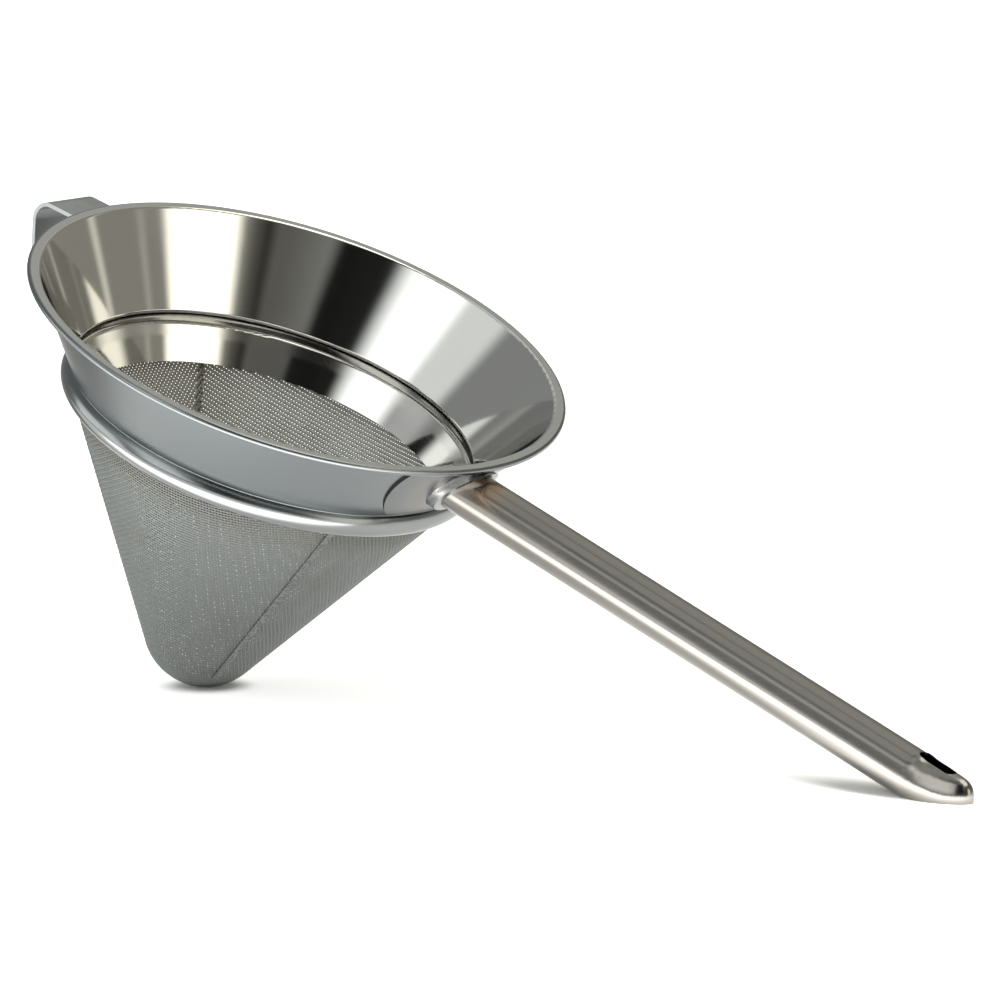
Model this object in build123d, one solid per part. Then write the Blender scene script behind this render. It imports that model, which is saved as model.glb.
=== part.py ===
from build123d import *
from math import acos, asin, atan2, cos, degrees, hypot, pi, radians, sin, sqrt, tan
import os

# Conical fine-mesh strainer with a tube handle and a pan hook.
# All lengths are millimetres. The strainer is drawn upright first: cone axis on Z, rim at
# Z = 0, handle along +X. It is then leaned over as a whole, until the mesh nose and the
# handle's end both lie on the floor, which is how it rests on a table.

# Collar: spun sheet with a hemmed rim, a flared wall and a rounded bead
opening_radius = 100.4
rim_width = 4.6
rim_thickness = 2.4
rim_turn_gap = 0.2
rim_inner_round = 0.3
collar_sheet = 0.9
wall_depth = 33.7
neck_radius = 77.85
neck_inner_round = 0.3
bead_radius = 4.35
bead_start_angle = 19.0
bead_lip_clearance = 0.05

# Mesh cone: two cloth gores with a pressed round nose
mesh_thickness = 0.9
strainer_depth = 150.1
nose_radius = 24.3
nose_seat_depth = 0.35
seam_azimuth = -26.0
seam_width = 2.6
seam_height = 0.35
seam_run_in = 0.6

# Clamp ring: inner band that grips the mesh edge inside the bead
ring_sheet = 0.8
ring_clearance = 0.05
ring_depth = 50.6
ring_roll_radius = 1.6
ring_roll_angle = 240.0
ring_roll_clearance = 0.15

# Handle: closed round tube with a seated end and a hanging slot
handle_radius = 9.3
handle_wall = 1.0
handle_length = 350.9
handle_rise = 2.23
end_taper = 27.7
end_round = 6.5
end_shares = (0.0, 0.2, 0.4, 0.58, 0.74, 0.86, 0.94, 0.985)
seat_crossing = 7.0
slot_length = 16.5
slot_width = 5.4
slot_from_end = 19.1

# Handle plate and weld
plate_thickness = 1.0
plate_top_drop = 3.6
plate_middle_drop = 14.4
plate_neck_gap = 3.05
plate_top_half_width = 31.2
plate_middle_half_width = 31.9
plate_bottom_half_width = 19.5
plate_corner_round = 5.0
weld_width = 2.4
weld_height = 3.6
weld_rim_gap = 0.39

# Pan hook: bent strip opposite the handle
hook_thickness = 1.5
hook_width = 24.0
hook_root_depth = 5.2
hook_corner_depth = 9.2
hook_reach = 32.1
hook_bend_radius = 7.6
hook_leg_drop = 30.8
hook_leg_lean = 18.2
hook_leg_corner_round = 5.0
hook_short_edge_share = 1.1
hook_flange_neck_gap = 6.55

overrun = 60.0


# Sheet profiles: r is drawn as x and height as y, then stood up and turned about Z
def turned(profile):
    return revolve(Plane.XZ * profile, Axis.Z, 360)


def sheet_profile(path, thickness, side):
    edge = path.wire() if hasattr(path, "wire") else path
    return make_face(edge.offset_2d(thickness, Kind.ARC, side, True))


# Places on the flared wall: distance down the slope from the rim, and height over its inner face
wall_lean = atan2(opening_radius - neck_radius, wall_depth)
wall_slope = hypot(opening_radius - neck_radius, wall_depth)
wall_out = (cos(wall_lean), -sin(wall_lean))
wall_down = (-sin(wall_lean), -cos(wall_lean))


def wall_point(drop, height):
    return (
        opening_radius + drop * wall_down[0] + height * wall_out[0],
        drop * wall_down[1] + height * wall_out[1],
    )


def wall_layer(top_drop, bottom_drop, low, high):
    corners = [
        wall_point(top_drop, low),
        wall_point(bottom_drop, low),
        wall_point(bottom_drop, high),
        wall_point(top_drop, high),
    ]
    return turned(make_face(Polyline(*corners, close=True)))


# The bead's middle, and the room that the ring's roll and the mesh take inside the bead
bead_middle = (
    neck_radius - bead_radius * sin(radians(bead_start_angle)),
    -wall_depth - bead_radius * cos(radians(bead_start_angle)),
)
ring_face = mesh_thickness + ring_clearance + ring_sheet
roll_offset = bead_radius - ring_roll_clearance - ring_roll_radius
bead_to_mesh = roll_offset - ring_roll_radius + ring_face

# The mesh's outer face touches a circle round the bead's middle and the nose's circle
nose_height = nose_radius - strainer_depth
bead_over_nose = bead_middle[1] - nose_height
bead_nose_distance = hypot(bead_middle[0], bead_over_nose)
cone_half_angle = acos((nose_radius - bead_to_mesh) / bead_nose_distance) - atan2(
    bead_over_nose, bead_middle[0]
)
mesh_up = (sin(cone_half_angle), cos(cone_half_angle))
mesh_in = (-cos(cone_half_angle), sin(cone_half_angle))
mesh_slope_length = sqrt(bead_nose_distance**2 - (nose_radius - bead_to_mesh) ** 2)


# Places on the mesh: distance up the slope from beside the bead's middle, and depth below
# the outer face
def mesh_point(up, depth):
    return (
        bead_middle[0] + up * mesh_up[0] + (depth - bead_to_mesh) * mesh_in[0],
        bead_middle[1] + up * mesh_up[1] + (depth - bead_to_mesh) * mesh_in[1],
    )


# The bead's lip ends just off the mesh
lip_reach = bead_to_mesh + bead_lip_clearance
lip_down = sqrt(bead_radius**2 - lip_reach**2)
lip_end = mesh_point(-lip_down, -bead_lip_clearance)

# The handle's axis, low enough for the weld to clear the rim
rise = radians(handle_rise)
weld_radius = handle_radius + weld_width
handle_axis_depth = rim_thickness + weld_rim_gap + weld_radius + opening_radius * tan(rise)

# The lean that brings the handle's end down to the floor that the nose stands on
crossing = handle_length - seat_crossing
crossing_x = crossing * cos(rise)
crossing_z = crossing * sin(rise) - handle_axis_depth
above_nose = crossing_z - nose_height
nose_contact = nose_radius - nose_seat_depth
lean = atan2(above_nose, crossing_x) + asin(nose_contact / hypot(above_nose, crossing_x))
floor_level = nose_height * cos(lean) - nose_contact


def leaned(shape):
    return Rot(0, degrees(lean), 0) * shape


def on_floor(shape, lift):
    reach = handle_length + opening_radius + overrun
    ground = Box(2 * reach, 2 * reach, overrun, align=(Align.CENTER, Align.CENTER, Align.MAX))
    return leaned(shape) - Pos(0, 0, floor_level + lift) * ground


# Collar
def make_collar():
    rim_edge = opening_radius + rim_width
    rim_half = rim_thickness / 2
    rim_under_end = opening_radius + collar_sheet / cos(wall_lean) + rim_turn_gap
    rim_edge_round = collar_sheet + rim_inner_round
    ridge = (neck_radius, -wall_depth)
    wall = FilletPolyline(
        (rim_edge - rim_half, 0), (opening_radius, 0), ridge, radius=rim_edge_round
    )
    hem = RadiusArc((rim_edge - rim_half, -rim_thickness), (rim_edge - rim_half, 0), -rim_half)
    under = Line((rim_under_end, -rim_thickness), (rim_edge - rim_half, -rim_thickness))
    bead = RadiusArc(ridge, lip_end, bead_radius)
    path = Wire([*wall.edges(), *bead.edges()])
    ridge_corner = path.vertices().sort_by_distance((ridge[0], ridge[1], 0))[0]
    path = path.fillet_2d(collar_sheet + neck_inner_round, [ridge_corner])
    rim_turn = sheet_profile(Wire([*under.edges(), *hem.edges()]), collar_sheet, Side.LEFT)
    return turned(rim_turn + sheet_profile(path, collar_sheet, Side.LEFT))


# Mesh gores
def make_mesh_gores():
    nose_tangent = mesh_point(-mesh_slope_length, 0)
    tucked_edge = mesh_point(-ring_roll_radius - ring_roll_clearance, 0)
    slope = Line(tucked_edge, nose_tangent)
    nose_middle = (
        nose_radius * sin(pi / 4 - cone_half_angle / 2),
        nose_height - nose_radius * cos(pi / 4 - cone_half_angle / 2),
    )
    nose = ThreePointArc(nose_tangent, nose_middle, (0, -strainer_depth))
    path = Wire([*slope.edges(), *nose.edges()])
    profile = sheet_profile(path, mesh_thickness, Side.RIGHT)
    gore = revolve(Plane.XZ * profile, Axis.Z, 180)
    return [on_floor(Rot(0, 0, seam_azimuth + half) * gore, 0) for half in (180, 0)]


def make_mesh_seam(azimuth):
    top = lip_down + collar_sheet + seam_run_in
    bottom = mesh_slope_length - seam_run_in
    corners = [
        mesh_point(-top, 0),
        mesh_point(-bottom, 0),
        mesh_point(-bottom, -seam_height),
        mesh_point(-top, -seam_height),
    ]
    layer = turned(make_face(Polyline(*corners, close=True)))
    reach = opening_radius + overrun
    strip = Box(reach, seam_width, 2 * strainer_depth, align=(Align.MIN, Align.CENTER, Align.CENTER))
    return leaned(layer & Rot(0, 0, azimuth) * strip)


# Clamp ring
def make_clamp_ring():
    roll_start = mesh_point(0, ring_face)
    bottom_up = (-ring_depth - roll_start[1]) / mesh_up[1]
    band = Line(mesh_point(bottom_up, ring_face), roll_start)
    roll = JernArc(roll_start, mesh_up, ring_roll_radius, -ring_roll_angle)
    path = Wire([*band.edges(), *roll.edges()])
    return leaned(turned(sheet_profile(path, ring_sheet, Side.RIGHT)))


# Handle tube
def handle_place(shape):
    return Pos(0, 0, -handle_axis_depth) * Rot(0, -handle_rise, 0) * shape


def handle_form(inset):
    radius = handle_radius - inset
    tip = handle_length - inset
    round_start = tip - end_round
    sections = []
    for share in end_shares:
        place = tip - end_taper + end_taper * share
        past_round = max(0, place - round_start)
        half_width = radius * sqrt(1 - share**2)
        half_height = radius * sqrt(1 - (past_round / end_round) ** 2)
        sections.append(Plane.YZ.offset(place) * Ellipse(half_width, half_height))
    inner_end = neck_radius - overrun / 2
    barrel = Plane.YZ.offset(inner_end) * Circle(radius)
    return extrude(barrel, tip - end_taper - inner_end) + loft(sections)


def inside_wall(height):
    top = wall_point(-overrun, height)
    bottom = wall_point((wall_depth + overrun) / cos(wall_lean), height)
    core = [(0, top[1]), (0, bottom[1]), bottom, top]
    return turned(make_face(Polyline(*core, close=True)))


def make_handle_tube():
    slot = SlotOverall(slot_length, slot_width)
    slot_cut = Pos(handle_length - slot_from_end, 0, 0) * extrude(slot, handle_radius + overrun)
    plate_face = collar_sheet + plate_thickness
    outer = handle_place(handle_form(0) - slot_cut) - inside_wall(plate_face)
    inner = handle_place(handle_form(handle_wall))
    return on_floor(outer, 0) - on_floor(inner, handle_wall)


# Handle plate and the weld round the tube's root
def make_handle_plate():
    plate_bottom_drop = wall_slope - plate_neck_gap
    right = ThreePointArc(
        (plate_top_half_width, -plate_top_drop),
        (plate_middle_half_width, -plate_middle_drop),
        (plate_bottom_half_width, -plate_bottom_drop),
    )
    left = mirror(right, Plane.YZ)
    top = Line((-plate_top_half_width, -plate_top_drop), (plate_top_half_width, -plate_top_drop))
    bottom = Line(
        (-plate_bottom_half_width, -plate_bottom_drop),
        (plate_bottom_half_width, -plate_bottom_drop),
    )
    outline = make_face([*right.edges(), *left.edges(), *top.edges(), *bottom.edges()])
    low_corners = outline.vertices().sort_by(Axis.Y)[:2]
    outline = fillet(low_corners, plate_corner_round)
    tangent_plane = Plane(
        origin=(opening_radius, 0, 0), x_dir=(0, 1, 0), z_dir=(wall_out[0], 0, wall_out[1])
    )
    prism = extrude(tangent_plane * outline, overrun, both=True)
    layer = wall_layer(
        plate_top_drop,
        plate_bottom_drop,
        collar_sheet,
        collar_sheet + plate_thickness,
    )
    return leaned(layer & prism)


def make_handle_weld():
    plate_face = collar_sheet + plate_thickness
    layer = wall_layer(0, wall_depth, plate_face, plate_face + weld_height)
    bar = Plane.YZ.offset(neck_radius - overrun / 2) * Circle(weld_radius)
    ring = layer & handle_place(extrude(bar, 2 * overrun))
    rod = Plane.YZ.offset(neck_radius - overrun / 2) * Circle(handle_radius)
    ring = ring - handle_place(extrude(rod, 2 * overrun))
    return leaned(ring)


# Pan hook
def make_pan_hook():
    corner = (opening_radius + hook_reach, -hook_corner_depth)
    leg_end_reach = corner[0] - hook_leg_drop * tan(radians(hook_leg_lean))
    leg_end = (leg_end_reach, -hook_corner_depth - hook_leg_drop)
    flange_face = collar_sheet + hook_thickness
    root_height = flange_face - hook_thickness / 2
    root_drop = (hook_root_depth + root_height * wall_out[1]) / -wall_down[1]
    root = wall_point(root_drop, root_height)
    path = FilletPolyline(root, corner, leg_end, radius=hook_bend_radius)
    strip = sheet_profile(path, hook_thickness, Side.RIGHT)
    strip = extrude(Plane.XZ * strip, hook_width / 2, both=True)
    flange_bottom_drop = wall_slope - hook_flange_neck_gap
    flange = wall_layer(root_drop, flange_bottom_drop, collar_sheet, flange_face)
    reach = opening_radius + overrun
    band = Box(reach, hook_width, 2 * strainer_depth, align=(Align.MIN, Align.CENTER, Align.CENTER))
    hook = strip + (flange & band)
    short_edge = hook_short_edge_share * hook_thickness
    corners = hook.edges().filter_by(lambda edge: edge.length < short_edge)
    leg_corners = corners.sort_by(Axis.Z)[:2]
    hook = fillet(leg_corners, hook_leg_corner_round)
    return leaned(Rot(0, 0, 180) * hook)


pieces = {
    "collar": leaned(make_collar()),
    "clamp_ring": make_clamp_ring(),
    "mesh_front_gore": None,
    "mesh_back_gore": None,
    "mesh_seam_front": make_mesh_seam(seam_azimuth),
    "mesh_seam_back": make_mesh_seam(seam_azimuth + 180),
    "handle_tube": make_handle_tube(),
    "handle_plate": make_handle_plate(),
    "handle_weld": make_handle_weld(),
    "pan_hook": make_pan_hook(),
}
pieces["mesh_front_gore"], pieces["mesh_back_gore"] = make_mesh_gores()

box = Compound(list(pieces.values())).bounding_box()
to_origin = Pos(-box.center().X, -box.center().Y, -floor_level)

os.makedirs("parts", exist_ok=True)
for name, shape in pieces.items():
    export_step(to_origin * shape, "parts/" + name + ".step")
    print(name, round(shape.volume))
print("lean", round(degrees(lean), 2), "cone half angle", round(degrees(cone_half_angle), 2))
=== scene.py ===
# %% [markdown]
# # Dressing a bouillon strainer
# The strainer is a spun steel collar with a cone of fine wire cloth under it, a tube handle on one side
# and a small pan hook on the other. The CAD model gives every solid its true size and place, so this
# script only has to do what CAD does badly: weave the cloth out of wires, give each metal its own
# finish, and light it.

# %% Load the imported model
import math

import bmesh
import bpy
from mathutils import Matrix, Vector


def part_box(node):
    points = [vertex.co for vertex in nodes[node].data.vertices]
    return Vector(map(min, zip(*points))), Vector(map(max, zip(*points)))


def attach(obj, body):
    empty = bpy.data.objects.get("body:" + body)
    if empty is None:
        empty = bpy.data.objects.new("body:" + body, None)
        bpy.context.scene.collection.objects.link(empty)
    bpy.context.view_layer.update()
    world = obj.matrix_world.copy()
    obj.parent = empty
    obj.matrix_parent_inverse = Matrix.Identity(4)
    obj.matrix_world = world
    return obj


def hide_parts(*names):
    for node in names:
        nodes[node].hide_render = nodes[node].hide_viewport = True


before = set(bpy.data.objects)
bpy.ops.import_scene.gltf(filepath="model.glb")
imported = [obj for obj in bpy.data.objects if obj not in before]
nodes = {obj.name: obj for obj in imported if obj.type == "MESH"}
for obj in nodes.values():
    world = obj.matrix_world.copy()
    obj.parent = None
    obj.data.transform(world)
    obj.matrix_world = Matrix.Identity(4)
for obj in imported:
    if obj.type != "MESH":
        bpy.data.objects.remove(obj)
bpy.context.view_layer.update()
print("solids from CAD:", ", ".join(sorted(nodes)))

# %% [markdown]
# The strainer leans, because it rests on its nose and on the end of its handle. Its own shape is
# simpler when it hangs level, with the cone's axis upright and the rim's top at height zero. One matrix
# takes that level strainer to its resting place, and its inverse lets a material work in level
# coordinates.

# %% The level strainer and its resting place
mm = 0.001
lean = math.radians(23.135)
rest_place = Matrix.Translation((-96.551 * mm, 0, 139.633 * mm)) @ Matrix.Rotation(lean, 4, "Y")
level_place = rest_place.inverted()
print("rim's middle at rest:", [round(v, 4) for v in rest_place.translation])

# %% [markdown]
# ## The camera
# A long lens from about three metres keeps the ellipse of the rim as flat as in the product photograph.
# Its place and its level edge were found by fitting the outline of the rim, the cone and the handle.
# The third direction follows from the other two, so the camera's axes are always square to each other.

# %% Camera
camera_place = Vector((2.1631, -2.4523, 0.6176))
camera_azimuth = math.radians(41.37)
camera_height = math.radians(9.229)
camera_level_edge = Vector((0.7513, 0.6599, -0.0080))

towards_camera = Vector((
    math.sin(camera_azimuth) * math.cos(camera_height),
    -math.cos(camera_azimuth) * math.cos(camera_height),
    math.sin(camera_height),
))
camera_up = towards_camera.cross(camera_level_edge).normalized()
camera_right = camera_up.cross(towards_camera)
camera_turn = Matrix((camera_right, camera_up, towards_camera)).transposed()

lens = bpy.data.cameras.new("long_lens")
lens.lens = 323.65
lens.sensor_width = 36
lens.clip_end = 50
camera = bpy.data.objects.new("camera", lens)
camera.matrix_world = Matrix.Translation(camera_place) @ camera_turn.to_4x4()
bpy.context.scene.collection.objects.link(camera)
bpy.context.scene.camera = camera
print("camera stands", round(camera_place.length, 2), "m from the strainer")

# %% [markdown]
# ## Shader maths in plain Python
# Every finish below is built from nodes. Writing node links by hand hides the idea, so one small class
# wraps a socket and lets it be added, multiplied and compared like a number. One method makes every
# node: it takes the node's kind, its settings and what goes into its sockets.

# %% A socket that does maths
class Flow:
    """What comes out of a shader node."""

    def __init__(self, shader, socket):
        self.shader = shader
        self.socket = socket

    def maths(self, operation, *values):
        sockets = dict(enumerate(values))
        return self.shader.node("Math", {"operation": operation}, sockets)

    def __add__(self, other):
        return self.maths("ADD", self, other)

    def __radd__(self, other):
        return self.maths("ADD", other, self)

    def __sub__(self, other):
        return self.maths("SUBTRACT", self, other)

    def __rsub__(self, other):
        return self.maths("SUBTRACT", other, self)

    def __mul__(self, other):
        return self.maths("MULTIPLY", self, other)

    def __truediv__(self, other):
        return self.maths("DIVIDE", self, other)

    def __abs__(self):
        return self.maths("ABSOLUTE", self)

    def sine(self):
        return self.maths("SINE", self)

    def root(self):
        return self.maths("SQRT", self)

    def along(self, direction):
        """How far a vector reaches along a direction."""
        sockets = {0: self, 1: direction}
        return self.shader.node("VectorMath", {"operation": "DOT_PRODUCT"}, sockets, "Value")

    def distance_to(self, point):
        sockets = {0: self, 1: point}
        return self.shader.node("VectorMath", {"operation": "DISTANCE"}, sockets, "Value")

    def stretched(self, factors):
        """A vector with each of its parts multiplied by its own factor."""
        return self.shader.node("VectorMath", {"operation": "MULTIPLY"}, {0: self, 1: factors})

    def fade(self, nothing, everything):
        """0 at one value, 1 at the other, and a soft S between them."""
        sockets = {"Value": self, "From Min": nothing, "From Max": everything}
        return self.shader.node("MapRange", {"interpolation_type": "SMOOTHSTEP"}, sockets)


# %% A shader that makes its own nodes
class Shader:
    """The nodes of one finish, or of the studio's walls."""

    def __init__(self, owner):
        owner.use_nodes = True
        self.tree = owner.node_tree
        self.tree.nodes.clear()

    def node(self, kind, settings=None, sockets=None, output=0):
        made = self.tree.nodes.new("ShaderNode" + kind)
        for name, value in (settings or {}).items():
            if name == "stops":
                self.set_stops(made.color_ramp.elements, value)
            else:
                setattr(made, name, value)
        for name, value in (sockets or {}).items():
            if isinstance(value, Flow):
                self.tree.links.new(value.socket, made.inputs[name])
            else:
                made.inputs[name].default_value = value
        return Flow(self, made.outputs[output]) if made.outputs else None

    def set_stops(self, elements, stops):
        for place, colour in stops[2:]:
            elements.new(place)
        for element, (place, colour) in zip(elements, stops):
            element.position = place
            element.color = (*colour, 1)

    def mix(self, share, first, second):
        """A blend of two colours."""
        settings = {"data_type": "RGBA"}
        sockets = {0: share, 6: first, 7: second}
        return self.node("Mix", settings, sockets, 2)

    def noise(self, place, scale, detail=2.0):
        sockets = {"Vector": place, "Scale": scale, "Detail": detail}
        return self.node("TexNoise", None, sockets, "Fac")

    def level_coordinates(self):
        """Where a point of the strainer would be if it hung level."""
        place = self.node("TexCoord", None, None, "Object")
        turn = {"Location": level_place.translation, "Rotation": (0, -lean, 0)}
        return self.node("Mapping", {"vector_type": "POINT"}, {"Vector": place, **turn})

    def parts(self, vector):
        return [self.node("SeparateXYZ", None, {0: vector}, axis) for axis in "XYZ"]

    def metal(self, colour, roughness, height=None, bump=0.1, depth=0.0001):
        """The metal itself, with the bump that the finish gives it."""
        sockets = {"Base Color": colour, "Metallic": 1.0, "Roughness": roughness}
        if height is not None:
            bumps = {"Height": height, "Strength": bump, "Distance": depth}
            sockets["Normal"] = self.node("Bump", None, bumps)
        surface = self.node("BsdfPrincipled", None, sockets)
        self.node("OutputMaterial", None, {"Surface": surface})


def finish(name):
    material = bpy.data.materials.new(name)
    return material, Shader(material)


def level_normal(shader):
    """Which way the surface looks, on the level strainer."""
    normal = shader.node("TexCoord", None, None, "Normal")
    turn = {"Rotation": (0, -lean, 0)}
    return shader.node("Mapping", {"vector_type": "NORMAL"}, {"Vector": normal, **turn})


def facing_in(shader, level):
    """1 where the surface looks towards the cone's axis, 0 where it looks away."""
    nx, ny = shader.parts(level_normal(shader))[:2]
    x, y = shader.parts(level)[:2]
    radius = (x * x + y * y).root()
    return ((x * nx + y * ny) / radius).fade(0.12, -0.12)


def wear(piece, material):
    """Gives a piece its finish, in every material slot that it has."""
    if piece.data.materials:
        for place in range(len(piece.data.materials)):
            piece.data.materials[place] = material
    else:
        piece.data.materials.append(material)
    print(piece.name, "wears", material.name)


print("a finish is made of nodes by Shader.node, and Flow does the sums")

# %% [markdown]
# ## The room
# Polished steel has hardly any colour of its own: it shows the room. So the room is drawn first, as a
# far wall of soft panels all round the strainer. A panel is a patch of directions with a soft edge. It
# is given by the way it lies from the strainer, its width, the heights of its lower and upper edges,
# and how wide the soft edge is, all in degrees, and by how much it glows.

# %% One softbox
def softbox(direction, elevation, middle, width, low, high, edge, glow):
    """How brightly one panel shines in each direction."""
    angle = math.radians(middle)
    ahead = direction.along((math.sin(angle), -math.cos(angle), 0))
    aside = direction.along((math.cos(angle), math.sin(angle), 0))
    turn = abs(ahead.maths("ARCTAN2", aside, ahead) * math.degrees(1))
    across = turn.fade((width + edge) / 2, (width - edge) / 2)
    above = elevation.fade(low - edge / 2, low + edge / 2)
    below = elevation.fade(high + edge / 2, high - edge / 2)
    return across * above * below * glow


# %% [markdown]
# The strainer's mirror faces show what stood round it: large white panels in front and on the left,
# with a low one under them, the dark gap where the camera stood, another white panel to the right with
# two thin streaks beyond it, and grey walls behind. A faint panel hangs overhead. The strongest light
# hangs high behind the strainer, where hardly any mirror face shows it, and lights the white floor.
#
# Each row below holds a panel's middle, width, lower edge, upper edge, soft edge and glow. The glow of
# a panel is added to the grey walls, and that of a dark gap is taken away.

# %% Walls and softboxes of the studio
room = bpy.data.worlds.new("white_studio")
bpy.context.scene.world = room
walls = Shader(room)
direction = walls.node("TexCoord", None, None, "Generated")
height = walls.parts(direction)[2]
elevation = height.maths("ARCSINE", height) * math.degrees(1)

softboxes = {
    "front left": (-1, 32, 8, 58, 15, 1.60),
    "left": (306, 44, 3, 34, 5, 1.50),
    "its scattered edge": (329, 38, 40, 50, 12, 0.68),
    "low front": (326, 26, -6, 4, 6, 1.20),
    "right": (99, 31, -2, 28, 6, 1.70),
    "warm streak": (152, 4, -2, 30, 4, 0.50),
    "second streak": (126, 3, -2, 30, 4, 0.18),
    "behind": (214, 40, 30, 84, 26, 0.40),
    "overhead": (300, 110, 62, 88, 8, 0.45),
    "high behind": (130, 130, 52, 86, 8, 2.30),
}
dark_gaps = {
    "camera": (33, 26, -5, 60, 8, 0.285),
    "stand": (75, 9, -5, 40, 6, 0.20),
    "low wall": (54, 36, -5, 28, 12, 0.17),
}
grey_walls = 0.30
darkest = 0.012
glow = grey_walls
for panel in softboxes.values():
    glow = glow + softbox(direction, elevation, *panel)
for gap in dark_gaps.values():
    glow = glow - softbox(direction, elevation, *gap)
glow = glow.maths("MAXIMUM", glow, darkest)

# %% [markdown]
# The walls aren't one white. The side behind the strainer on the right is warmer, as if a lamp lit it,
# and the side in front is cool daylight.

# %% Colour of the studio's light
warm_side = 2.3
daylight = (0.97, 1.0, 0.985, 1)
lamplight = (1.0, 0.975, 0.84, 1)
warmth = direction.along((math.sin(warm_side), -math.cos(warm_side), 0)).fade(-0.3, 0.7)
tint = walls.mix(warmth, daylight, lamplight)
light = walls.node("Background", None, {"Color": tint, "Strength": glow})
walls.node("OutputWorld", None, {"Surface": light})
print("softboxes:", ", ".join(softboxes))

# %% [markdown]
# The floor is one wide pale sheet, so that no horizon shows behind the strainer. It is nearly white,
# with a very faint unevenness, as paper has. It glows a little, as a light table does, which keeps
# shadows faint, and a band of strong light is painted on it in front as glow. The camera only sees white
# there, but the band puts the bright streak on the handle's underside and on the bead. A patch of painted
# shade, darker grey and with less glow, lies on the left, out of the camera's sight, and darkens that end
# of the collar. Where the nose and the handle's end touch the table, the glow is left out, so that they
# stand in a small dark shadow. The floor isn't part of the strainer, so it is stage.

# %% Floor
floor_reach = 40.0
sheet = bmesh.new()
bmesh.ops.create_grid(sheet, x_segments=1, y_segments=1, size=floor_reach)
floor_mesh = bpy.data.meshes.new("floor")
sheet.to_mesh(floor_mesh)
sheet.free()
floor = bpy.data.objects.new("floor", floor_mesh)
bpy.context.scene.collection.objects.link(floor)

# %% [markdown]
# The patch of painted shade and the band of light have straight edges on the table, so each is a product
# of fades along a direction. The nose's shadow is round. The handle's is round on a table that is squeezed
# along the handle, so it is long on the real one, and its place is given on the squeezed table.

# %% What lies on the floor
shade_patch_side = (0.715, 0.702, 0)
band_side = (-0.350, 0.937, 0)
nose_seat = (-0.146, 0, 0)
squeeze = (0.35, 1, 1)
handle_seat_squeezed = (0.065, 0, 0)
painted_shade_grey = (0.24, 0.24, 0.24, 1)
table_light = 0.64
band_light = 3.4

paper, shader = finish("white_paper")
table = shader.node("TexCoord", None, None, "Object")
x, y = shader.parts(table)[:2]
grain = shader.noise(table, scale=30.0)
white = shader.mix(grain, (0.90, 0.90, 0.90, 1), (0.92, 0.92, 0.92, 1))
# The patch on the left is painted shade: a darker grey here, and less glow in the table's glow below.
painted_shade_patch = table.along(shade_patch_side).fade(-0.215, -0.30) * y.fade(-0.15, -0.03)
tone = shader.mix(painted_shade_patch, white, painted_shade_grey)
behind = table.along(band_side)
band_depth = behind.fade(-0.045, -0.105) * behind.fade(-0.34, -0.24)
band = band_depth * x.fade(-0.70, -0.50) * x.fade(0.34, 0.20)
under_nose = table.distance_to(nose_seat).fade(21 * mm, 8 * mm)
under_handle = table.stretched(squeeze).distance_to(handle_seat_squeezed).fade(22 * mm, 6 * mm)
shadow = under_nose + under_handle
table_glow = table_light - shadow * 0.62 - painted_shade_patch * 0.52 + band * (1 - shadow) * band_light
sockets = {"Base Color": tone, "Roughness": 0.9, "Emission Color": table_glow, "Emission Strength": 1.0}
surface = shader.node("BsdfPrincipled", None, sockets)
shader.node("OutputMaterial", None, {"Surface": surface})
wear(floor, paper)

bpy.context.scene.view_settings.view_transform = "Standard"
bpy.context.scene.view_settings.look = "None"

# %% [markdown]
# ## The wire cloth
# The cone is woven wire cloth. It is woven flat, cut into two gores, and each gore is rolled round half
# of the cone and pressed over a round nose. Making it the same way gives the right pattern for free:
# straight wires on the flat cloth turn into the slanting, bending rows that the rolled cloth shows.
#
# A flat picture of wires on a smooth cone would look thin from close by, and light couldn't pass
# between the wires. So each wire is modelled. It has only four sides and two steps for each wire that
# it crosses, because there are hundreds of them. Both kinds are pressed flat and wide, which leaves
# openings as small as those in the photograph. The columns lie straight, and the thicker rows wave a
# little, so that they stand out.

# %% Sizes of the cloth
cloth_thickness = 0.9 * mm
row_spacing = 1.5 * mm
column_spacing = 1.2 * mm
row_width = 1.16 * mm
row_height = 0.52 * mm
row_wave = 0.08 * mm
column_width = 0.80 * mm
column_height = 0.36 * mm
column_wave = 0
print("openings of", round((row_spacing - row_width) / mm, 2), "by",
      round((column_spacing - column_width) / mm, 2), "mm")

# %% [markdown]
# A wire starts as a four-sided ring that is extruded straight and divided into steps. Then each point
# rises or falls, so that the wire rises at one crossing and dips at the next. With a wave of zero it
# stays straight.

# %% One wavy wire
def wavy_wire(length, width, height, wave, spacing):
    """A wire along X, with its middle at the origin, that rises at every other crossing."""
    wire = bmesh.new()
    crossings = 2 * math.ceil(length / spacing / 2)
    start = -crossings / 2 * spacing
    upright = Matrix((
        (0, 0, 1, start),
        (width / 2, 0, 0, 0),
        (0, height / 2, 0, 0),
        (0, 0, 0, 1),
    ))
    bmesh.ops.create_circle(wire, segments=4, radius=1, matrix=upright)
    grown = bmesh.ops.extrude_edge_only(wire, edges=wire.edges)["geom"]
    far_ring = [part for part in grown if isinstance(part, bmesh.types.BMVert)]
    bmesh.ops.translate(wire, verts=far_ring, vec=(crossings * spacing, 0, 0))
    long_edges = [edge for edge in wire.edges if edge.calc_length() > spacing]
    bmesh.ops.subdivide_edges(wire, edges=long_edges, cuts=2 * crossings - 1, use_grid_fill=True)
    for point in wire.verts:
        point.co.z += wave * math.cos(math.pi * point.co.x / spacing)
    return wire


# %% [markdown]
# The next wire has to wave the other way, so a copy of the wire is turned upside down beside it.
# Copying such a pair hundreds of times with a bmesh operator would be slow, because each copy looks
# through all that is there already. An Array modifier lays the pairs side by side at once, and its
# result is taken back.

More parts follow.
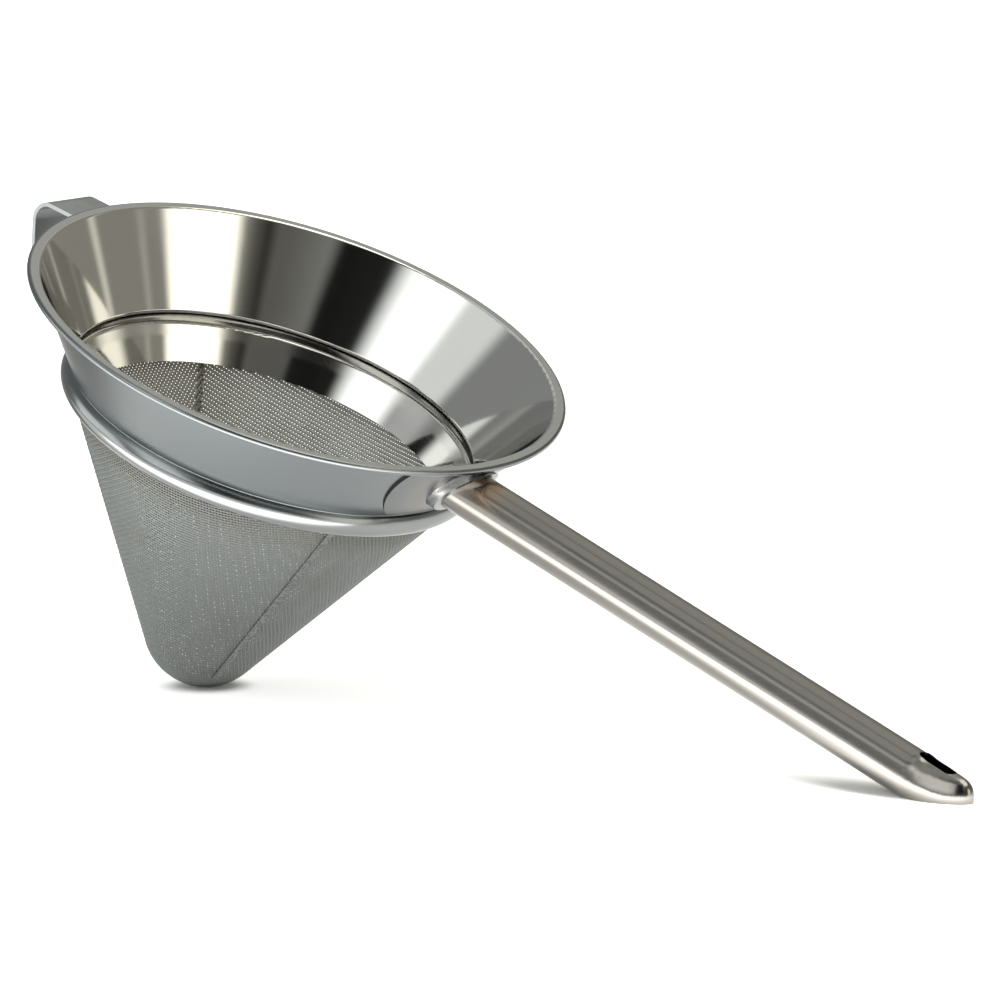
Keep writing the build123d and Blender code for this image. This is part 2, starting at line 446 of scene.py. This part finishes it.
# %% A flat set of wires
def flat_wires(reach, width, height, wave, along_spacing, across_spacing):
    """Wires along X, side by side in Y, each waving the other way than its neighbours."""
    pair = wavy_wire(reach, width, height, wave, along_spacing)
    copied = bmesh.ops.duplicate(pair, geom=pair.verts[:] + pair.edges[:] + pair.faces[:])["geom"]
    points = [part for part in copied if isinstance(part, bmesh.types.BMVert)]
    bmesh.ops.scale(pair, verts=points, vec=(1, 1, -1))
    bmesh.ops.translate(pair, verts=points, vec=(0, across_spacing, 0))
    pairs = math.ceil(reach / across_spacing / 2)
    bmesh.ops.translate(pair, verts=pair.verts, vec=(0, -pairs * across_spacing, 0))

    pair_mesh = bpy.data.meshes.new("wire_pair")
    pair.to_mesh(pair_mesh)
    pair.free()
    loom = bpy.data.objects.new("loom", pair_mesh)
    bpy.context.scene.collection.objects.link(loom)
    side_by_side = loom.modifiers.new("side_by_side", "ARRAY")
    side_by_side.count = pairs
    side_by_side.use_relative_offset = False
    side_by_side.use_constant_offset = True
    side_by_side.constant_offset_displace = (0, 2 * across_spacing, 0)
    laid = loom.evaluated_get(bpy.context.evaluated_depsgraph_get())
    cloth = bmesh.new()
    cloth.from_mesh(laid.to_mesh())
    bpy.data.objects.remove(loom)
    bpy.data.meshes.remove(pair_mesh)
    return cloth


# %% [markdown]
# The cone that the cloth is rolled round runs down the middle of the cloth's thickness. The slope and
# the foot of the cone, and the ball of the nose, are those of the CAD gores. The wires stop a little
# short of the foot, inside the clamp ring. On the flat cloth the cone's tip is the origin, and a
# distance from the tip stays the same when the cloth is rolled.

# %% The cone and the nose
slope_down, slope_in = 0.863, 0.505
cone_angle = math.atan2(slope_in, slope_down)
foot_radius = 78.81 * mm
foot_height = -39.20 * mm
nose_radius = 24.3 * mm - cloth_thickness / 2
nose_middle = -125.8 * mm
stops_short = 1.75 * mm

outer_tip = foot_height - foot_radius / math.tan(cone_angle)
tip_height = outer_tip + cloth_thickness / 2 / math.sin(cone_angle)
top_reach = foot_radius / math.sin(cone_angle) - stops_short
nose_reach = nose_radius / math.tan(cone_angle)
gore_angle = math.pi / 2 * math.sin(cone_angle)
print("a flat gore is a sector of", round(math.degrees(2 * gore_angle), 1), "degrees, and reaches",
      round(top_reach / mm), "mm")


# %% [markdown]
# Rolling moves every point from the flat cloth to the cone. Its distance from the tip gives the place
# along the slope, and its angle on the flat cloth, spread out, gives the angle round the cone. Nearer
# than the nose, the slope bends over the ball, and the cloth gets a little denser there, as pressed
# cloth does.

# %% Rolling the cloth
def rolled(point, middle):
    """The place on the level strainer of a point of the flat cloth. Its Z is its height above the cloth."""
    reach = math.hypot(point.x, point.y)
    around = middle + math.atan2(point.x, -point.y) / math.sin(cone_angle)
    if reach > nose_reach:
        tilt = cone_angle
        radius = reach * math.sin(cone_angle)
        height = tip_height + reach * math.cos(cone_angle)
    else:
        curl = (math.pi / 2 - cone_angle) * reach / nose_reach
        tilt = math.pi / 2 - curl
        radius = nose_radius * math.sin(curl)
        height = nose_middle - nose_radius * math.cos(curl)
    radius += point.z * math.cos(tilt)
    height -= point.z * math.sin(tilt)
    return Vector((radius * math.cos(around), radius * math.sin(around), height))


# %% [markdown]
# A set of wires is turned on the flat cloth, cut along the two seams, rolled, and cut level at the top,
# where the clamp ring hides the ends. The cut ends are closed. At rest the nose is pressed flat on the
# table, so no point goes below the floor.

# %% Cutting one set of wires to a gore
def trim(cloth, point, outward):
    everything = cloth.verts[:] + cloth.edges[:] + cloth.faces[:]
    cut = bmesh.ops.bisect_plane(cloth, geom=everything, plane_co=point, plane_no=outward,
                                 clear_outer=True, dist=1e-7)["geom_cut"]
    ends = [part for part in cut if isinstance(part, bmesh.types.BMEdge)]
    bmesh.ops.holes_fill(cloth, edges=ends, sides=12)


def woven_piece(name, cloth, turn, middle):
    bmesh.ops.rotate(cloth, verts=cloth.verts, matrix=Matrix.Rotation(turn, 3, "Z"))
    far = [point for point in cloth.verts if point.co.y > 2 * row_spacing
           or point.co.to_2d().length > top_reach + 2 * row_spacing]
    bmesh.ops.delete(cloth, geom=far, context="VERTS")
    trim(cloth, (0, 0, 0), (math.cos(gore_angle), math.sin(gore_angle), 0))
    trim(cloth, (0, 0, 0), (-math.cos(gore_angle), math.sin(gore_angle), 0))
    for point in cloth.verts:
        point.co = rolled(point.co, middle)
    trim(cloth, (0, 0, tip_height + top_reach * math.cos(cone_angle)), (0, 0, 1))
    cloth.transform(rest_place)
    for point in cloth.verts:
        point.co.z = max(point.co.z, 0)
    bmesh.ops.recalc_face_normals(cloth, faces=cloth.faces)
    for face in cloth.faces:
        face.smooth = True
    mesh = bpy.data.meshes.new(name)
    cloth.to_mesh(mesh)
    cloth.free()
    piece = bpy.data.objects.new(name, mesh)
    bpy.context.scene.collection.objects.link(piece)
    print(name, "has", sum(len(face.vertices) - 2 for face in mesh.polygons), "triangles")
    return piece


# %% [markdown]
# Each gore has rows across it and columns up it. The rows slant against the gore's middle line, because
# the cloth wasn't cut straight. The two sets are pieces of their own, which keeps each light enough,
# and together they stand for the CAD gore.

# %% Weave both gores
gore_middles = {"front": math.radians(-116), "back": math.radians(64)}
row_slant = math.radians(19)
column_slant = row_slant + math.pi / 2
patch_reach = 2.1 * top_reach
cloth_pieces = []
for gore, middle in gore_middles.items():
    rows = flat_wires(patch_reach, row_width, row_height, row_wave, column_spacing, row_spacing)
    rows_piece = woven_piece(gore + "_cloth_rows", rows, row_slant, middle)
    columns = flat_wires(patch_reach, column_width, column_height, column_wave, row_spacing, column_spacing)
    columns_piece = woven_piece(gore + "_cloth_columns", columns, column_slant, middle)
    for piece in (rows_piece, columns_piece):
        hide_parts("mesh_" + gore + "_gore")
        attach(piece, "root")
        cloth_pieces.append(piece)

# %% [markdown]
# The wires are drawn stainless steel, softly shining. Broth and washing leave the cloth a little darker
# and browner high up, just under the bead, where it is never scrubbed. One patch by the hook is browned
# most. The side that food passes over is painted lighter, as painted light, and the outside darker, as
# painted shade.

# %% Finish of the cloth
# The outside colour is painted shade and the inside colour painted light, so the side facing the cone's
# axis is painted lighter.
cloth_outside_painted_shade = (0.215, 0.227, 0.22, 1)
cloth_inside_painted_light = (0.50, 0.505, 0.485, 1)
brown = (0.145, 0.123, 0.10, 1)
browned_place = Vector((-69.0, 16.0, -58.0)) * mm

woven_steel, shader = finish("woven_steel")
level = shader.level_coordinates()
under_bead = shader.parts(level)[2].fade(-62 * mm, -42 * mm)
patches = shader.noise(level, scale=45.0, detail=3.0)
browned = level.distance_to(browned_place).fade(42 * mm, 16 * mm)
stain = under_bead * 0.45 + patches.fade(0.5, 0.8) * 0.2 + browned * 0.5
steel = shader.mix(facing_in(shader, level), cloth_outside_painted_shade, cloth_inside_painted_light)
colour = shader.mix(stain, steel, brown)
shader.metal(colour, 0.44 + patches * 0.12)
for piece in cloth_pieces:
    wear(piece, woven_steel)

# %% [markdown]
# Where the gores meet, the wire ends are lapped and welded into a thin line. It shows as small dark and
# light dashes, so its finish breaks up along the slope with a fine noise.

# %% Finish of the seams
dark_dash = (0.15, 0.155, 0.15, 1)
light_dash = (0.24, 0.245, 0.235, 1)

seam_steel, shader = finish("seam_steel")
level = shader.level_coordinates()
dashes = shader.noise(level, scale=900.0, detail=1.0).fade(0.42, 0.60)
colour = shader.mix(dashes, dark_dash, light_dash)
shader.metal(colour, 0.50 - dashes * 0.10, dashes, bump=0.4, depth=0.2 * mm)
wear(nodes["mesh_seam_front"], seam_steel)
wear(nodes["mesh_seam_back"], seam_steel)

# %% [markdown]
# ## The polished sheet
# The collar is spun from one disc and polished on the side that touches food. Its outside is only
# satin, and its colour is painted much darker than the inside's, as painted shade. The roller that pressed
# the bead has left the bead shinier, and the bead's colour is painted a little lighter than the wall's,
# as a painted highlight. The two sides are one solid, so the finish asks which way the surface looks:
# towards the cone's axis or away. Spinning and polishing leave fine lines round the axis. They come from
# a noise that is fine along the sheet's profile and very long round the circle.

# %% Lines that polishing leaves
def turned_lines(shader, level, fine, long):
    x, y, z = shader.parts(level)
    radius = (x * x + y * y).root()
    place = shader.node("CombineXYZ", None, {0: x * long, 1: y * long, 2: (z + radius) * fine})
    return shader.noise(place, scale=1.0, detail=3.0)


# %% [markdown]
# Three spot welds hold the hook's flange to the back of the wall. They show on the inside as small
# dimples with a faint tint, so they are part of this finish and not solids.

# %% Finish of the collar
spot_welds = ((-87.5, -6.8, -22.3), (-96.0, 12.8, -10.5), (-87.8, 8.7, -21.7))
spot_weld_radius = 1.5 * mm
spot_tint = (0.30, 0.25, 0.20, 1)
# The outside colours are painted shade, much darker than the inside; the bead's is a little lighter, as a
# painted highlight.
wall_outside_painted_shade = (0.225, 0.24, 0.245, 1)
bead_shade_and_sheen = (0.28, 0.29, 0.287, 1)
wall_inside = (0.66, 0.655, 0.635, 1)

polished_steel, shader = finish("polished_steel")
level = shader.level_coordinates()
inside = facing_in(shader, level)
lines = turned_lines(shader, level, fine=2600.0, long=14.0)
smudges = shader.noise(level, scale=22.0, detail=4.0).fade(0.45, 0.75)
dimple = 0.0
for weld in spot_welds:
    weld_place = Vector(weld) * mm
    spot = level.distance_to(weld_place).fade(spot_weld_radius, spot_weld_radius * 0.55)
    dimple = spot + dimple
bead = shader.parts(level)[2].fade(-34.5 * mm, -37 * mm)
shaded_outside_steel = shader.mix(bead, wall_outside_painted_shade, bead_shade_and_sheen)
steel = shader.mix(inside, shaded_outside_steel, wall_inside)
colour = shader.mix(dimple * 0.6, steel, spot_tint)
satin = 0.24 - bead * (1 - inside) * 0.07 - inside * 0.18
roughness = satin + lines * 0.03 + smudges * 0.04 + dimple * 0.15
relief = lines * (1.2 - inside) * 0.2 - dimple
shader.metal(colour, roughness, relief, bump=0.25, depth=0.05 * mm)
wear(nodes["collar"], polished_steel)

# %% [markdown]
# The clamp ring is the brightest part. It was rolled and buffed after it went in, so it is a mirror
# with only a trace of lines. Its rolled top edge, which the buffing wheel hardly reaches, is a little
# duller.

# %% Finish of the clamp ring
mirror = (0.66, 0.65, 0.63, 1)
smudged_mirror = (0.58, 0.56, 0.52, 1)

mirror_steel, shader = finish("mirror_steel")
level = shader.level_coordinates()
lines = turned_lines(shader, level, fine=3200.0, long=12.0)
smudges = shader.noise(level, scale=30.0, detail=4.0).fade(0.5, 0.8)
colour = shader.mix(smudges * 0.3, mirror, smudged_mirror)
rolled_edge = shader.parts(level)[2].fade(-43 * mm, -41 * mm)
roughness = 0.05 + lines * 0.03 + smudges * 0.05 + rolled_edge * 0.08
shader.metal(colour, roughness, lines, bump=0.05, depth=0.02 * mm)
wear(nodes["clamp_ring"], mirror_steel)

# %% [markdown]
# ## The handle
# The handle is drawn tube: its fine lines run along it, and it is a shade browner than the sheet.
# Welding has tinted its root. Heat colours run from a bluish grey at the weld through brown to straw,
# and are gone after two centimetres. The tint depends on the distance from the weld's middle, with an
# uneven edge, and it is strongest on top, where the welder's torch was.

# %% Heat tint round the weld
weld_low, weld_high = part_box("handle_weld")
weld_middle = (weld_low + weld_high) / 2
weld_reach = (weld_high - weld_low).length / 2
heat_reach = weld_reach + 16 * mm
heat_colours = (
    (0.00, (0.22, 0.20, 0.18)),
    (0.22, (0.20, 0.12, 0.07)),
    (0.45, (0.36, 0.24, 0.13)),
    (0.70, (0.33, 0.27, 0.19)),
    (1.00, (0.28, 0.25, 0.22)),
)
print("the weld reaches", round(weld_reach / mm, 1), "mm from its middle")


def heat_tint(shader, place, steel, strength):
    """The steel's colour with heat colours round the weld."""
    uneven = shader.noise(place, scale=160.0, detail=3.0) * 6 * mm
    distance = place.distance_to(weld_middle) + uneven
    share = distance.fade(weld_reach * 0.6, heat_reach)
    tint = shader.node("ValToRGB", {"stops": heat_colours}, {"Fac": share})
    return shader.mix((1 - share) * strength, steel, tint)


# %% Finish of the tube
clean_tube = (0.27, 0.256, 0.235, 1)
smudged_tube = (0.21, 0.196, 0.174, 1)

tube_steel, shader = finish("tube_steel")
place = shader.node("TexCoord", None, None, "Object")
drawn = shader.noise(place.stretched((25.0, 1500.0, 1500.0)), scale=1.0, detail=2.0)
smudges = shader.noise(place, scale=28.0, detail=4.0).fade(0.4, 0.8)
steel = shader.mix(smudges * 0.5, clean_tube, smudged_tube)
upward = shader.parts(shader.node("TexCoord", None, None, "Normal"))[2].fade(0.10, 0.50)
colour = heat_tint(shader, place, steel, 0.08 + upward * 0.92)
roughness = 0.13 + drawn * 0.07 + smudges * 0.07
shader.metal(colour, roughness, drawn, bump=0.10, depth=0.03 * mm)
wear(nodes["handle_tube"], tube_steel)

# %% [markdown]
# The weld bead has small overlapping ripples. The plate under the handle is the same satin sheet as the
# wall behind it, a little tinted by the same heat, and its grey is painted darker still, as painted
# shade. Its cut edge is painted black, as the painted shadow in the gap along the plate, and shows as a
# thin arc. The edge is found by its direction, because it looks along the wall and not away from it.

# %% Finish of the weld
bright_weld = (0.40, 0.42, 0.43, 1)
brown_weld = (0.25, 0.235, 0.22, 1)
ripple_radians_per_metre = (900.0, 0.0, -2600.0)

weld_steel, shader = finish("weld_steel")
place = shader.node("TexCoord", None, None, "Object")
wobble = shader.noise(place, scale=300.0, detail=3.0)
ripples = (place.along(ripple_radians_per_metre) + wobble * 5).sine()
steel = shader.mix(wobble, bright_weld, brown_weld)
shader.metal(steel, 0.20 + wobble * 0.16, ripples * 0.5 + wobble, bump=0.30, depth=0.2 * mm)
wear(nodes["handle_weld"], weld_steel)

# %% Finish of the plate
# The plate's grey is painted shade, darker than the wall's; the black is the painted shadow in the gap at
# its edge.
plate_painted_shade_grey = (0.18, 0.19, 0.195, 1)
edge_gap_shadow = (0.02, 0.02, 0.02, 1)
wall_slope = math.radians(30)
wall_side = (math.cos(wall_slope), 0, -math.sin(wall_slope))

plate_steel, shader = finish("plate_steel")
place = shader.node("TexCoord", None, None, "Object")
level = shader.level_coordinates()
lines = turned_lines(shader, level, fine=2600.0, long=14.0)
steel = heat_tint(shader, place, plate_painted_shade_grey, 0.25)
cut_edge = abs(level_normal(shader).along(wall_side)).fade(0.40, 0.18)
colour = shader.mix(cut_edge, steel, edge_gap_shadow)
roughness = 0.24 + lines * 0.03 + cut_edge * 0.3
shader.metal(colour, roughness, lines, bump=0.05, depth=0.03 * mm)
wear(nodes["handle_plate"], plate_steel)

# %% [markdown]
# ## The hook
# The hook is a bent strip with a satin face. Its grain runs along the strip, so the noise is long in
# the directions of the strip's path and fine across it. The inner side, which hangs over a pot's rim and
# faces the collar, is painted darker, as painted shade.

# %% Finish of the hook
clean_hook = (0.42, 0.44, 0.45, 1)
smudged_hook = (0.34, 0.34, 0.33, 1)
hook_inner_shade = (0.15, 0.155, 0.16, 1)

hook_steel, shader = finish("hook_steel")
place = shader.node("TexCoord", None, None, "Object")
grain = shader.noise(place.stretched((50.0, 1600.0, 50.0)), scale=1.0, detail=3.0)
smudges = shader.noise(place, scale=60.0, detail=3.0).fade(0.45, 0.75)
steel = shader.mix(smudges, clean_hook, smudged_hook)
# The side facing the collar is painted darker, as painted shade.
shaded_inner_side = shader.parts(shader.node("TexCoord", None, None, "Normal"))[0].fade(0.3, 0.8)
colour = shader.mix(shaded_inner_side, steel, hook_inner_shade)
roughness = 0.20 + grain * 0.08 + smudges * 0.06
shader.metal(colour, roughness, grain, bump=0.05, depth=0.02 * mm)
wear(nodes["pan_hook"], hook_steel)
